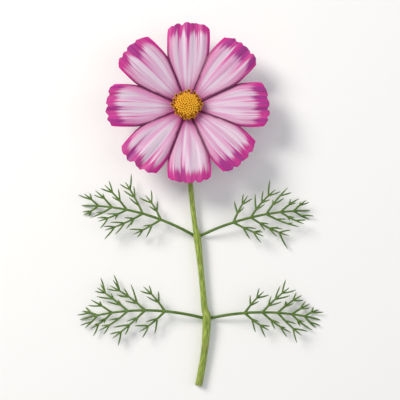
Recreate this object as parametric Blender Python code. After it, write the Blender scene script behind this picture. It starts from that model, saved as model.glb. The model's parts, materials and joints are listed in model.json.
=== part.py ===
"""One cosmos flower as picked: an open head of eight ray petals on its stem, with two pairs of thread-like
leaves. It lies on a flat surface at z = 0 with its face up. The stem runs towards -Y and the head is at +Y.

Metres, +Z up. The origin is below the middle of the whole flower, on the surface that it lies on.
"""

import math
import random
from dataclasses import dataclass

import bmesh
import bpy
from mathutils import Matrix, Vector
from mathutils.geometry import intersect_line_line_2d

MM = 0.001

# --- Driving dimensions, in millimetres and degrees ---------------------------------------------------------

HEAD_AT = (-5.6, 42.1)  # where the head's axis meets the stem's end, seen from above
HEAD_LEAN = 4.0  # how far the face leans away from the stem

# Stem
NECK_BEND_RADIUS = 5.0
NECK_RADIUS = 1.0
STEM_SIDES = 10
SEAT_GAP = 0.3  # clearance between a piece and what carries it

# Receptacle and disc, as (radius, height above the receptacle's foot)
RECEPTACLE_PROFILE = [(1.3, 0.0), (2.6, 0.5), (3.6, 1.3), (4.1, 2.3), (4.2, 3.2)]
INNER_DISC_PROFILE = [(2.4, 3.5), (2.9, 5.0), (3.8, 7.0), (3.9, 7.9), (3.3, 8.5), (1.9, 8.9)]
INNER_DISC_TOP = 9.05
OUTER_DISC_PROFILE = [
    (2.75, 3.5), (3.9, 3.5), (4.2, 4.2), (5.0, 4.9), (5.9, 5.9), (6.4, 7.0),
    (6.3, 7.8), (5.6, 8.4), (4.8, 8.4), (4.3, 8.0), (4.2, 7.0), (3.25, 5.0),
]
OUTER_FLORETS = 16
FLORET_RELIEF = 0.25

# Ray petals
PETAL_BASE_RADIUS = 4.6
PETAL_BASE_HEIGHT = 3.2
PETAL_THICKNESS = 0.45
PETAL_WHORL_STEP = 0.5  # every second petal sits this much higher
PETAL_SEAM = 0.5  # space between neighbouring petals, seen from above
PETAL_NOTCH = 0.4  # where the tip is notched, as a share of the half width
PETAL_COLUMNS = 11
PETAL_ROWS = 9

# Bracts behind the petals
BRACT_COUNT = 8
BRACT_THICKNESS = 0.5

# Leaves
LEAF_THICKNESS = 0.7
LEAF_POINT_SPACING = 4.5
LEAF_BASE_HEIGHT = 1.6
LEAF_PAIRS = [(0.30, 0.82), (0.46, 1.0), (0.60, 0.85), (0.73, 0.62), (0.85, 0.42)]  # place on midrib, length
THREAD_CLEARANCE = 1.5


@dataclass
class Petal:
    """One ray petal. Lengths are from the head's axis to the tip."""

    angle: float
    length: float
    half_width: float
    cup: float  # how far it rises above the head's plane, in degrees
    pleat: float  # height of its lengthwise folds


@dataclass
class Leaf:
    """One feathery leaf, lying to one side of its stem node."""

    name: str
    node: int  # which stem node it grows from
    heading: float  # its direction at the stem, in degrees from +X
    bend: float  # how far the midrib turns along its length, in degrees
    length: float
    pinna_length: float
    arch: float  # how high the midrib stands above the surface
    seed: int


PETALS = [
    Petal(0.0, 36.0, 9.9, 9.0, 0.35),
    Petal(46.0, 36.8, 9.4, 11.0, 0.30),
    Petal(89.0, 37.4, 9.2, 12.0, 0.35),
    Petal(135.0, 36.4, 9.5, 12.0, 0.25),
    Petal(181.0, 35.4, 9.4, 11.0, 0.30),
    Petal(230.0, 35.6, 9.5, 8.0, 0.50),
    Petal(272.0, 35.2, 9.3, 7.0, 0.35),
    Petal(314.0, 35.6, 9.7, 8.0, 0.40),
]

# The stem's centreline from the cut end to the neck, measured from below the head: across, along, lift of its
# underside off the surface, and its radius there.
STEM_ROUTE = [
    (5.0, -122.0, 0.0, 1.50),
    (7.6, -107.0, 0.5, 1.45),
    (8.6, -93.0, 0.9, 1.75),
    (7.6, -88.0, 1.0, 1.35),
    (6.2, -73.0, 1.3, 1.20),
    (4.4, -57.0, 1.2, 1.50),
    (3.4, -52.0, 1.3, 1.10),
    (1.6, -36.0, 1.6, 1.05),
    (0.3, -20.0, 0.9, 1.00),
    (0.0, -10.0, 0.2, 1.00),
]
STEM_NODES = [(4.4, -57.0, 1.2, 1.50), (8.6, -93.0, 0.9, 1.75)]

LEAVES = [
    Leaf("leaf_upper_right", 0, 24.0, -22.0, 50.0, 18.0, 4.5, 3),
    Leaf("leaf_upper_left", 0, 152.0, 26.0, 52.0, 18.0, 5.0, 8),
    Leaf("leaf_lower_right", 1, 12.0, -26.0, 48.0, 17.0, 3.5, 14),
    Leaf("leaf_lower_left", 1, 166.0, 30.0, 54.0, 19.0, 4.0, 21),
]


# --- Materials ----------------------------------------------------------------------------------------------


def plain_material(name, colour, roughness):
    """A non-metallic Principled material of one linear colour."""
    material = bpy.data.materials.new(name)
    material.use_nodes = True
    shader = material.node_tree.nodes["Principled BSDF"]
    shader.inputs["Base Color"].default_value = (*colour, 1.0)
    shader.inputs["Roughness"].default_value = roughness
    shader.inputs["Metallic"].default_value = 0.0
    material.diffuse_color = (*colour, 1.0)
    return material


def make_materials():
    """The flower's finishes, by what they cover."""
    return {
        "petal": plain_material("petal", (0.74, 0.42, 0.60), 0.55),
        "disc": plain_material("disc", (0.62, 0.33, 0.03), 0.75),
        "bract": plain_material("bract", (0.13, 0.22, 0.04), 0.6),
        "stem": plain_material("stem", (0.23, 0.32, 0.07), 0.5),
        "leaf": plain_material("leaf", (0.10, 0.18, 0.03), 0.6),
    }


# --- Helpers ------------------------------------------------------------------------------------------------


def add_object(name, mesh, material, parent):
    """Links a finished mesh to the scene as one named piece."""
    mesh.materials.append(material)
    mesh.shade_smooth()
    mesh.set_sharp_from_angle(angle=math.radians(50))
    piece = bpy.data.objects.new(name, mesh)
    piece.parent = parent
    bpy.context.scene.collection.objects.link(piece)
    return piece


def add_empty(name, location, lean=0.0, parent=None):
    """A frame for other pieces, leaning away from the stem by lean degrees."""
    empty = bpy.data.objects.new(name, None)
    empty.location = location
    empty.rotation_euler = (-math.radians(lean), 0.0, 0.0)
    empty.parent = parent
    bpy.context.scene.collection.objects.link(empty)
    return empty


def mesh_from(bm, name):
    """Closes a bmesh into a mesh whose faces point outwards."""
    bmesh.ops.recalc_face_normals(bm, faces=bm.faces)
    mesh = bpy.data.meshes.new(name)
    bm.to_mesh(mesh)
    bm.free()
    return mesh


def smooth_step(low, high, value):
    """0 below low, 1 above high, and an even curve between them."""
    t = min(1.0, max(0.0, (value - low) / (high - low)))
    return t * t * (3.0 - 2.0 * t)


def catmull_rom(points, steps):
    """Points of any size on a smooth curve through the given ones, with this many steps between each two."""
    padded = [points[0], *points, points[-1]]
    curve = []
    for a, b, c, d in zip(padded, padded[1:], padded[2:], padded[3:]):
        for step in range(steps):
            t = step / steps
            curve.append(tuple(
                0.5 * (2 * q + (r - p) * t + (2 * p - 5 * q + 4 * r - s) * t * t
                       + (3 * q - p - 3 * r + s) * t ** 3)
                for p, q, r, s in zip(a, b, c, d)
            ))
    return [*curve, tuple(points[-1])]


# --- Head ---------------------------------------------------------------------------------------------------


def turned(name, profile, material, parent, steps=24, axis_ends=None, relief=None):
    """A solid turned round the head's axis.

    axis_ends gives the heights where the profile closes on the axis; without it the profile is a closed ring.
    relief is (count, depth): the outside stands out and in by depth, count times round.
    """
    ends = [] if axis_ends is None else list(axis_ends)
    points = [(0.0, z) for z in ends[:1]] + list(profile) + [(0.0, z) for z in ends[1:]]
    bm = bmesh.new()
    loop = [bm.verts.new((r * MM, 0.0, z * MM)) for r, z in points]
    edges = [bm.edges.new(pair) for pair in zip(loop, loop[1:])]
    if not ends:
        edges.append(bm.edges.new((loop[-1], loop[0])))
    bmesh.ops.spin(bm, geom=[*loop, *edges], cent=(0, 0, 0), axis=(0, 0, 1), dvec=(0, 0, 0),
                   angle=math.tau, steps=steps, use_merge=True)
    bmesh.ops.remove_doubles(bm, verts=bm.verts, dist=1e-6)
    if relief:
        count, depth = relief
        middle = sum(r for r, _ in profile) / len(profile) * MM
        foot = min(z for _, z in profile) * MM
        height = max(z for _, z in profile) * MM - foot
        for vertex in bm.verts:
            radius = vertex.co.xy.length
            wave = math.cos(count * math.atan2(vertex.co.y, vertex.co.x))
            share = smooth_step(0.0, 1.0, (vertex.co.z - foot) / height)
            if radius > middle:
                vertex.co.xy *= 1.0 + wave * depth * MM * share / radius
            vertex.co.z += wave * depth * MM * 0.5 * share
    return add_object(name, mesh_from(bm, name), material, parent)


def petal_half_width(petal, radius, half_angle):
    """Half the petal's width this far from the head's axis, on the side whose seam is half_angle away."""
    wedge = math.tan(math.radians(half_angle)) * radius - PETAL_SEAM / 2
    past = max(0.0, radius / petal.length - 0.78)
    widest = petal.half_width * (1.0 - 2.2 * past * past)
    sharpness = 6.0
    return (wedge ** -sharpness + widest ** -sharpness) ** (-1.0 / sharpness)


def petal_height(petal, radius):
    """Height of the petal's middle above its base: steep at the claw, then the cup, with the tip turned back."""
    out = radius - PETAL_BASE_RADIUS
    cup = math.tan(math.radians(petal.cup))
    claw_slope, claw_length = 0.34, 4.0
    claw = (claw_slope - cup) * claw_length * (1.0 - math.exp(-out / claw_length))
    past = max(0.0, radius / petal.length - 0.62)
    return cup * out + claw - 12.0 * past * past


def petal_point(petal, across, along, half_angles):
    """A point of the petal's middle surface in its own frame, X outwards, for across -1 to 1 and along 0 to 1."""
    notch = math.exp(-(((abs(across) - PETAL_NOTCH) / 0.14) ** 2))
    end = petal.length * (1.0 - 0.09 * abs(across) ** 3.4 - 0.032 * notch)
    radius = PETAL_BASE_RADIUS + along * (end - PETAL_BASE_RADIUS)
    half = petal_half_width(petal, radius, half_angles[across < 0])
    reach = smooth_step(0.1, 0.9, along)
    folds = petal.pleat * math.cos(3.0 * math.pi * across) * reach
    droop = -0.45 * across * across * reach
    return Vector((radius, across * half, petal_height(petal, radius) + folds + droop)) * MM


def make_petal(number, material, parent):
    """One ray petal, seated at the receptacle's rim."""
    petal = PETALS[number]
    after = PETALS[(number + 1) % len(PETALS)].angle - petal.angle
    before = petal.angle - PETALS[number - 1].angle
    half_angles = ((after % 360.0) / 2.0, (before % 360.0) / 2.0)
    bm = bmesh.new()
    bmesh.ops.create_grid(bm, x_segments=PETAL_COLUMNS - 1, y_segments=PETAL_ROWS - 1, size=1.0)
    for vertex in bm.verts:
        vertex.co = petal_point(petal, vertex.co.x, (vertex.co.y + 1.0) / 2.0, half_angles)
    name = f"ray_petal_{number + 1}"
    piece = add_object(name, mesh_from(bm, name), material, parent)
    piece.location.z = (PETAL_BASE_HEIGHT + PETAL_WHORL_STEP * (number % 2)) * MM
    piece.rotation_euler.z = math.radians(petal.angle)
    shell = piece.modifiers.new("thickness", "SOLIDIFY")
    shell.thickness = PETAL_THICKNESS * MM
    shell.offset = 0.0
    return piece


def make_bract(name, angle, profile, half_width, material, parent):
    """One narrow bract. profile runs from its base to its tip as (radius, height)."""
    path = catmull_rom(profile, 2)
    bm = bmesh.new()
    rows = []
    for step, (radius, height) in enumerate(path):
        t = step / (len(path) - 1)
        half = half_width * (0.7 + 1.3 * t) * (1.0 - 0.86 * t ** 1.6)
        rows.append([
            bm.verts.new(Vector((radius, side * half, height + 0.15 * abs(side))) * MM) for side in (-1, 0, 1)
        ])
    for near, far in zip(rows, rows[1:]):
        for i in (0, 1):
            bm.faces.new((near[i], far[i], far[i + 1], near[i + 1]))
    piece = add_object(name, mesh_from(bm, name), material, parent)
    piece.rotation_euler.z = math.radians(angle)
    shell = piece.modifiers.new("thickness", "SOLIDIFY")
    shell.thickness = BRACT_THICKNESS * MM
    shell.offset = 0.0
    return piece


def make_head(materials, parent):
    """The flower head, in its own frame: the receptacle's foot is its origin and +Z is the way it faces."""
    turned("receptacle", RECEPTACLE_PROFILE, materials["bract"], parent,
           axis_ends=(0.0, RECEPTACLE_PROFILE[-1][1]))
    turned("disc_florets_inner", INNER_DISC_PROFILE, materials["disc"], parent,
           axis_ends=(INNER_DISC_PROFILE[0][1], INNER_DISC_TOP))
    turned("disc_florets_outer", OUTER_DISC_PROFILE, materials["disc"], parent,
           steps=2 * OUTER_FLORETS, relief=(OUTER_FLORETS, FLORET_RELIEF))
    for number in range(len(PETALS)):
        make_petal(number, materials["petal"], parent)
    for number in range(BRACT_COUNT):
        turn = 360.0 / BRACT_COUNT * number
        droop = 0.5 * (number % 3)
        make_bract(f"inner_bract_{number + 1}", turn, [(4.5, 1.9), (6.0, 2.45), (7.8, 2.9), (9.2, 3.2)],
                   1.45, materials["bract"], parent)
        make_bract(f"outer_bract_{number + 1}", turn + 22.5,
                   [(3.6, 0.75), (6.0, 0.9), (9.0, 0.4 - droop), (12.2, -0.6 - 2.0 * droop)],
                   0.95, materials["bract"], parent)


# --- Stem ---------------------------------------------------------------------------------------------------


def stem_points():
    """The stem's centreline and radius in the plant's frame: (x, y, z, radius), from the cut end to the head."""
    route = [(x, y, lift + radius, radius) for x, y, lift, radius in STEM_ROUTE]
    start_y = -NECK_BEND_RADIUS * math.cos(math.radians(HEAD_LEAN))
    turn = math.radians(90.0 - HEAD_LEAN)
    arc_steps = 6
    arc = []
    for step in range(arc_steps + 1):
        angle = turn * step / arc_steps
        flare = 0.25 * (step / arc_steps) ** 3
        arc.append((0.0, start_y + NECK_BEND_RADIUS * math.sin(angle),
                    NECK_RADIUS + NECK_BEND_RADIUS * (1.0 - math.cos(angle)), NECK_RADIUS + flare))
    return catmull_rom([*route, arc[0]], 3)[:-1] + arc


def make_stem(material, parent):
    """The stem as one tube, swollen at the two nodes that carry leaves."""
    curve = bpy.data.curves.new("stem", "CURVE")
    curve.dimensions = "3D"
    curve.bevel_depth = 1.0 * MM
    curve.bevel_resolution = STEM_SIDES // 2 - 2
    curve.use_fill_caps = True
    spline = curve.splines.new("POLY")
    points = stem_points()
    spline.points.add(len(points) - 1)
    for point, (x, y, z, radius) in zip(spline.points, points):
        point.co = (x * MM, y * MM, z * MM, 1.0)
        point.radius = radius
    curve.materials.append(material)
    stem = bpy.data.objects.new("stem", curve)
    stem.parent = parent
    bpy.context.scene.collection.objects.link(stem)
    return stem


# --- Leaves -------------------------------------------------------------------------------------------------


@dataclass
class LeafPoint:
    """One point of a leaf's skeleton, in millimetres."""

    place: Vector  # seen from above
    height: float
    half_width: float
    parent: int


def meets_another(points, start, end):
    """Whether a thread from the point numbered start to the place end would come up against another thread."""
    begin = points[start].place
    for number, point in enumerate(points):
        if point.parent < 0 or start in (number, point.parent):
            continue
        near, far = points[point.parent].place, point.place
        if intersect_line_line_2d(begin, end, near, far):
            return True
        along = far - near
        share = min(1.0, max(0.0, (end - near).dot(along) / along.length_squared))
        if (near + along * share - end).length < THREAD_CLEARANCE:
            return True
    return False


def grow(points, start, heading, bend, length, lift, widths):
    """Adds one curved thread to a leaf's skeleton, from the point numbered start, and returns its points' numbers.

    lift is the height it gains by its tip, and widths are its half widths at its start and tip. It stops short
    of any other thread.
    """
    steps = max(2, round(length / LEAF_POINT_SPACING))
    numbers, at = [start], points[start].place.copy()
    base_height = points[start].height
    for step in range(1, steps + 1):
        t = step / steps
        angle = math.radians(heading + bend * (t - 0.5 / steps))
        at = at + Vector((math.cos(angle), math.sin(angle))) * (length / steps)
        if meets_another(points, numbers[-1], at):
            break
        height = base_height + lift * math.sin(0.5 * math.pi * t)
        half = widths[0] + (widths[1] - widths[0]) * t
        points.append(LeafPoint(at.copy(), height, half, numbers[-1]))
        numbers.append(len(points) - 1)
    return numbers


def grow_midrib(points, leaf):
    """Adds the midrib and returns the numbers of the points that carry its pairs of side threads."""
    base_height, tip_height = points[0].height, LEAF_THICKNESS / 2
    previous, covered, forks = 0, 0.0, []
    for share in (*(pair for pair, _ in LEAF_PAIRS), 1.0):
        here = base_height + (tip_height - base_height) * share + leaf.arch * math.sin(math.pi * share)
        rib = grow(points, previous, leaf.heading + leaf.bend * covered, leaf.bend * (share - covered),
                   leaf.length * (share - covered), here - points[previous].height,
                   (0.6 - 0.25 * covered, 0.6 - 0.25 * share))
        previous, covered = rib[-1], share
        forks.append(previous)
    return forks[:-1]


def leaf_skeleton(leaf):
    """The leaf's threads: a midrib, five pairs of side threads, and short lobes on the longer ones."""
    draw = random.Random(leaf.seed)
    points = [LeafPoint(Vector((0.0, 0.0)), LEAF_BASE_HEIGHT, 0.6, -1)]
    pinnae = []
    for fork, (share, reach) in zip(grow_midrib(points, leaf), LEAF_PAIRS):
        for side in (1, -1):
            length = leaf.pinna_length * reach * draw.uniform(0.88, 1.08)
            spread = side * (56.0 - 20.0 * share + draw.uniform(-4.0, 4.0))
            curl = -side * draw.uniform(8.0, 20.0)
            lift = max(LEAF_THICKNESS / 2 - points[fork].height, draw.uniform(-3.5, 2.0))
            pinna = grow(points, fork, leaf.heading + leaf.bend * share + spread, curl, length, lift, (0.45, 0.28))
            pinnae.append((pinna, length, side))
    for pinna, length, side in pinnae:
        add_lobes(points, pinna, length, side, draw)
    return points


def add_lobes(points, thread, length, side, draw):
    """Short side lobes on one thread, alternately outwards and inwards."""
    outward = side
    for number in thread[1:-1]:
        parent = points[points[number].parent].place
        along = points[number].place - parent
        heading = math.degrees(math.atan2(along.y, along.x)) + outward * draw.uniform(34.0, 44.0)
        lift = max(LEAF_THICKNESS / 2 - points[number].height, draw.uniform(-1.5, 1.5))
        grow(points, number, heading, -outward * 10.0, length * draw.uniform(0.32, 0.46), lift, (0.38, 0.26))
        outward = -outward


def leaf_outline(points):
    """Walks round the skeleton. Returns the outline's corners as (place, height), anticlockwise."""
    around = [[] for _ in points]
    for number, point in enumerate(points):
        if point.parent >= 0:
            around[number].append(point.parent)
            around[point.parent].append(number)

    def direction(a, b):
        return (points[b].place - points[a].place).normalized()

    def right(d):
        return Vector((d.y, -d.x))

    first = around[0][0]
    start = right(direction(0, first)) * points[0].half_width
    corners = [(points[0].place - start, points[0].height), (points[0].place + start, points[0].height)]
    before, here = 0, first
    while here != 0:
        back = direction(here, before)

        def turn_from_back(number):
            d = direction(here, number)
            return math.atan2(back.x * d.y - back.y * d.x, back.dot(d)) % math.tau

        point = points[here]
        came = right(direction(before, here)) * point.half_width
        onward = min((n for n in around[here] if n != before), key=turn_from_back, default=None)
        if onward is None:
            corners += [(point.place + came, point.height), (point.place - came, point.height)]
            onward = before
        else:
            goes = right(direction(here, onward)) * point.half_width
            miter = (came + goes) / (1.0 + came.dot(goes) / point.half_width ** 2)
            corners.append((point.place + miter, point.height))
        before, here = here, onward
    return corners


def make_leaf(leaf, material, parent):
    """One leaf as a flat-sided network of threads, seated at its stem node."""
    corners = leaf_outline(leaf_skeleton(leaf))
    bm = bmesh.new()
    ring = [bm.verts.new((*(place * MM), 0.0)) for place, _ in corners]
    lower = bm.faces.new(ring)
    lower.normal_update()
    by_place = {tuple(vertex.co.xy): height for vertex, (_, height) in zip(ring, corners)}
    faces = bmesh.ops.triangulate(bm, faces=[lower], ngon_method="EAR_CLIP")["faces"]
    raised = bmesh.ops.extrude_face_region(bm, geom=faces)["geom"]
    upper = {item for item in raised if isinstance(item, bmesh.types.BMVert)}
    for vertex in bm.verts:
        height = by_place[tuple(vertex.co.xy)]
        side = 0.5 if vertex in upper else -0.5
        vertex.co.z = (height + side * LEAF_THICKNESS) * MM
    x, y, lift, radius = STEM_NODES[leaf.node]
    angle = math.radians(leaf.heading)
    seat = radius + SEAT_GAP + 0.3
    piece = add_object(leaf.name, mesh_from(bm, leaf.name), material, parent)
    piece.location = Vector((x + seat * math.cos(angle), y + seat * math.sin(angle), 0.0)) * MM
    return piece


def main():
    """Builds the flower."""
    for old in list(bpy.data.objects):
        bpy.data.objects.remove(old, do_unlink=True)
    materials = make_materials()
    plant = add_empty("plant", Vector((*HEAD_AT, 0.0)) * MM)
    make_stem(materials["stem"], plant)
    x, y, z, _ = stem_points()[-1]
    lean = Matrix.Rotation(-math.radians(HEAD_LEAN), 3, "X")
    foot = Vector((x, y, z)) + lean @ Vector((0.0, 0.0, SEAT_GAP))
    head = add_empty("head", foot * MM, HEAD_LEAN, plant)
    make_head(materials, head)
    for leaf in LEAVES:
        make_leaf(leaf, materials["leaf"], plant)


main()
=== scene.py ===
"""Looks of one picked cosmos flower: head, stem and four feathery leaves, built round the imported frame.

Metres, +Z up, in the frame's own axes. Lengths in the classes are millimetres unless they say otherwise.
"""

import json
import logging
import math
import random
from dataclasses import dataclass
from enum import Enum

import bpy
from bpy.types import Material, NodeSocket, Object
from mathutils import Matrix, Vector
from mathutils.geometry import intersect_line_line_2d

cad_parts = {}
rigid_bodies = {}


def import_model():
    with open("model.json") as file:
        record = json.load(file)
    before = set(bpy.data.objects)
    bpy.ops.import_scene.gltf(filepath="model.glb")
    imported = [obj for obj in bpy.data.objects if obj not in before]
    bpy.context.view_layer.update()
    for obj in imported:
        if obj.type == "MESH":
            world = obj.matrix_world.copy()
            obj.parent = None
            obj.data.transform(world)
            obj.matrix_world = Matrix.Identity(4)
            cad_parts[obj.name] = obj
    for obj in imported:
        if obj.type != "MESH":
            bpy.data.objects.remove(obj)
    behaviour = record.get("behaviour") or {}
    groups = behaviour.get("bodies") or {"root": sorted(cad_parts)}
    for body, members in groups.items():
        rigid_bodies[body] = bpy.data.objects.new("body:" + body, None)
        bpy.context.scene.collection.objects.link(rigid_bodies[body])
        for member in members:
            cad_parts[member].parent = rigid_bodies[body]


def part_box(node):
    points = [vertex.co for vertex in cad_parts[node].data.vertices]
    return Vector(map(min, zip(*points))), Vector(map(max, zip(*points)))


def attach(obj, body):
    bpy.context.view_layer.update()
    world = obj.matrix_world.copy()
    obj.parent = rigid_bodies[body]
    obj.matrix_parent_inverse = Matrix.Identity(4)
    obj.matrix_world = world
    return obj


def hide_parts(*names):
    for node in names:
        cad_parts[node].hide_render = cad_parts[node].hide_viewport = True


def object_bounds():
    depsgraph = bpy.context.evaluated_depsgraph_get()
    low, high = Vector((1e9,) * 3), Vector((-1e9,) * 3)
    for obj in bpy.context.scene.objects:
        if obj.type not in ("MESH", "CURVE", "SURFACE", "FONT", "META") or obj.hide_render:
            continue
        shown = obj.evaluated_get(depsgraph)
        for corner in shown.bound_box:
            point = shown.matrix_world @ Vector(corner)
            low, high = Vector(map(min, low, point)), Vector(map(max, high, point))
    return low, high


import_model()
CAD_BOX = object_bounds()

MM = 0.001
LOG = logging.getLogger("cosmos")
HEAD_LEAN = 4.0  # degrees that the face leans away from the stem
CUP_FOOT = 1.3  # the receptacle's radius at its foot, in the frame
SEAT_GAP = 0.3  # between the neck and the receptacle, in the frame
GOLDEN_ANGLE = math.radians(137.508)
WELD = 0.0001  # millimetres below which two corners are one

# Settings that several nodes share.
ADD = {"operation": "ADD"}
SUBTRACT = {"operation": "SUBTRACT"}
MULTIPLY = {"operation": "MULTIPLY"}
MULTIPLY_ADD = {"operation": "MULTIPLY_ADD"}
MINIMUM = {"operation": "MINIMUM"}
EASED = {"interpolation_type": "SMOOTHSTEP"}
COLOURS = {"data_type": "RGBA"}


class Slot(Enum):
    """The record's material slots."""

    PETAL = "petal"
    DISC = "disc"
    BRACT = "bract"
    STEM = "stem"
    LEAF = "leaf"


# --- Small helpers ---


def linear(hex_colour: str) -> tuple[float, float, float, float]:
    """Turns an sRGB hex colour to linear.

    Args:
        hex_colour: Six hex digits.

    Returns:
        Linear red, green, blue and an alpha of 1.
    """
    parts = [int(hex_colour[i:i + 2], 16) / 255.0 for i in (0, 2, 4)]
    red, green, blue = (c / 12.92 if c <= 0.04045 else ((c + 0.055) / 1.055) ** 2.4 for c in parts)
    return red, green, blue, 1.0


def smooth_step(low: float, high: float, value: float) -> float:
    """How far a value is from low to high, eased at both ends, as a share from 0 to 1."""
    t = min(1.0, max(0.0, (value - low) / (high - low)))
    return t * t * (3.0 - 2.0 * t)


def catmull_rom(points: list[tuple], steps: int) -> list[tuple]:
    """Reads a smooth curve through points of any size.

    Args:
        points: The points that the curve passes through.
        steps: How many steps it takes between each two.

    Returns:
        The curve's points, both ends among them.
    """
    padded = [points[0], *points, points[-1]]
    curve = []
    for a, b, c, d in zip(padded, padded[1:], padded[2:], padded[3:]):
        for step in range(steps):
            t = step / steps
            curve.append(tuple(
                0.5 * (2 * q + (r - p) * t + (2 * p - 5 * q + 4 * r - s) * t * t
                       + (3 * q - p - 3 * r + s) * t ** 3)
                for p, q, r, s in zip(a, b, c, d)
            ))
    return [*curve, tuple(points[-1])]


def deselect_all() -> None:
    """Leaves object mode with nothing selected."""
    if bpy.context.mode != "OBJECT":
        bpy.ops.object.mode_set(mode="OBJECT")
    bpy.ops.object.select_all(action="DESELECT")


def activate(piece: Object) -> None:
    """Makes one object the only selected one and the active one.

    Args:
        piece: The object.
    """
    deselect_all()
    piece.select_set(True)
    bpy.context.view_layer.objects.active = piece


def apply_modifiers(piece: Object) -> None:
    """Applies every modifier of a piece, in order.

    Args:
        piece: The piece.
    """
    activate(piece)
    for modifier in list(piece.modifiers):
        bpy.ops.object.modifier_apply(modifier=modifier.name)


def place_mesh(piece: Object, matrix: Matrix) -> None:
    """Moves a piece by moving its mesh, so that its object stays at the origin."""
    piece.data.transform(matrix)
    piece.data.update()


def join(pieces: list[Object], name: str) -> Object:
    """Joins pieces into one.

    Args:
        pieces: The pieces to join. The first one keeps its materials' order.
        name: The joined piece's name.

    Returns:
        The joined piece.
    """
    deselect_all()
    for piece in pieces:
        piece.select_set(True)
    bpy.context.view_layer.objects.active = pieces[0]
    bpy.ops.object.join()
    joined = bpy.context.view_layer.objects.active
    joined.name = name
    joined.data.name = name
    return joined


def lay_pattern(piece: Object, name: str, spots: list[tuple[float, float]]) -> None:
    """Gives a piece a UV map.

    Args:
        piece: The piece.
        name: The map's name.
        spots: Each vertex's place on the map.
    """
    uv_map = piece.data.uv_layers.new(name=name)
    for loop in piece.data.loops:
        uv_map.data[loop.index].uv = spots[loop.vertex_index]


def copy_of(piece: Object, matrix: Matrix) -> Object:
    """Copies a piece with its own mesh.

    Args:
        piece: The piece to copy.
        matrix: Where the copy's mesh goes.

    Returns:
        The copy.
    """
    twin = piece.copy()
    twin.data = piece.data.copy()
    bpy.context.scene.collection.objects.link(twin)
    place_mesh(twin, matrix)
    return twin


def turned(name: str, sides: int, rings: list[tuple[float, float]], ridge: float = 0.0) -> Object:
    """A closed turned shape in millimetres: a disc extruded up and resized in rings.

    Args:
        name: The piece's name.
        sides: Its number of sides.
        rings: Radius and height of each ring, from the foot up. The first height is 0.
        ridge: How far every second corner stands out at the top, as a share of the radius.

    Returns:
        The shape, with a height attribute from 0 to 1.
    """
    deselect_all()
    radius, height = rings[0]
    bpy.ops.mesh.primitive_circle_add(vertices=sides, radius=radius, fill_type="NGON")
    piece = bpy.context.object
    piece.name = name
    bpy.ops.object.mode_set(mode="EDIT")
    bpy.ops.mesh.select_all(action="SELECT")
    for next_radius, next_height in rings[1:]:
        rise = (0.0, 0.0, next_height - height)
        bpy.ops.mesh.extrude_region_move(TRANSFORM_OT_translate={"value": rise})
        bpy.ops.transform.resize(value=(next_radius / radius, next_radius / radius, 1.0))
        radius, height = next_radius, next_height
    bpy.ops.mesh.select_all(action="SELECT")
    bpy.ops.mesh.normals_make_consistent(inside=False)
    bpy.ops.object.mode_set(mode="OBJECT")
    levels = piece.data.attributes.new("height", "FLOAT", "POINT")
    for vertex in piece.data.vertices:
        level = vertex.co.z / height
        levels.data[vertex.index].value = level
        wave = 1.0 + ridge * level * math.cos(sides / 2 * math.atan2(vertex.co.y, vertex.co.x))
        vertex.co.x *= wave
        vertex.co.y *= wave
    return piece


def hand_over(piece: Object, place: Matrix, slot: Slot, material: Material, *nodes: str,
              crease: float = 50.0) -> Object:
    """Finishes a piece: its place, shading, material and body, and the nodes that it stands for.

    Args:
        piece: The piece, made in millimetres.
        place: Where its mesh goes.
        slot: The record's slot of its finish. Not used.
        material: Its material.
        nodes: The frame's nodes that it replaces.
        crease: The angle past which an edge stays sharp, in degrees.

    Returns:
        The finished piece.
    """
    place_mesh(piece, place)
    activate(piece)
    bpy.ops.object.shade_smooth_by_angle(angle=math.radians(crease))
    piece.data.materials.clear()
    piece.data.materials.append(material)
    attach(piece, "root")
    if nodes:
        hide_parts(*nodes)
    LOG.info("%s: %d faces", piece.name, len(piece.data.polygons))
    return piece


# --- Materials ---


@dataclass
class Recipe:
    """A material while its nodes are being put together."""

    name: str

    def __post_init__(self) -> None:
        """Makes the material with only its shader and output."""
        self.material = bpy.data.materials.new(self.name)
        self.material.use_nodes = True
        self.tree = self.material.node_tree
        self.shader = self.tree.nodes["Principled BSDF"]

    def add(self, kind: str, settings: dict | None = None, out: int = 0, **links: object) -> NodeSocket:
        """Adds one node with its settings and links.

        Args:
            kind: The node's type name, without "ShaderNode".
            settings: Its properties. A colour ramp's "stops" are pairs of position and hex colour.
            out: The number of the output that is wanted.
            links: What feeds each socket, an output or a constant. A key is its name, or "s" and its number.

        Returns:
            The wanted output.
        """
        node = self.tree.nodes.new("ShaderNode" + kind)
        for key, value in (settings or {}).items():
            if key != "stops":
                setattr(node, key, value)
                continue
            elements = node.color_ramp.elements
            for element, (position, colour) in zip(elements, (value[0], value[-1])):
                element.position, element.color = position, linear(colour)
            for position, colour in value[1:-1]:
                elements.new(position).color = linear(colour)
        for key, value in links.items():
            socket = node.inputs[int(key[1:]) if key[1:].isdigit() else key]
            if isinstance(value, NodeSocket):
                self.tree.links.new(value, socket)
            else:
                socket.default_value = value
        return node.outputs[out]

    def link(self, output: NodeSocket, name: str) -> None:
        """Feeds one of the shader's sockets."""
        self.tree.links.new(output, self.shader.inputs[name])

    def set(self, **values: object) -> None:
        """Sets constant values on the shader's sockets, with underscores for spaces in their names."""
        for name, value in values.items():
            self.shader.inputs[name.replace("_", " ")].default_value = value


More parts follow.
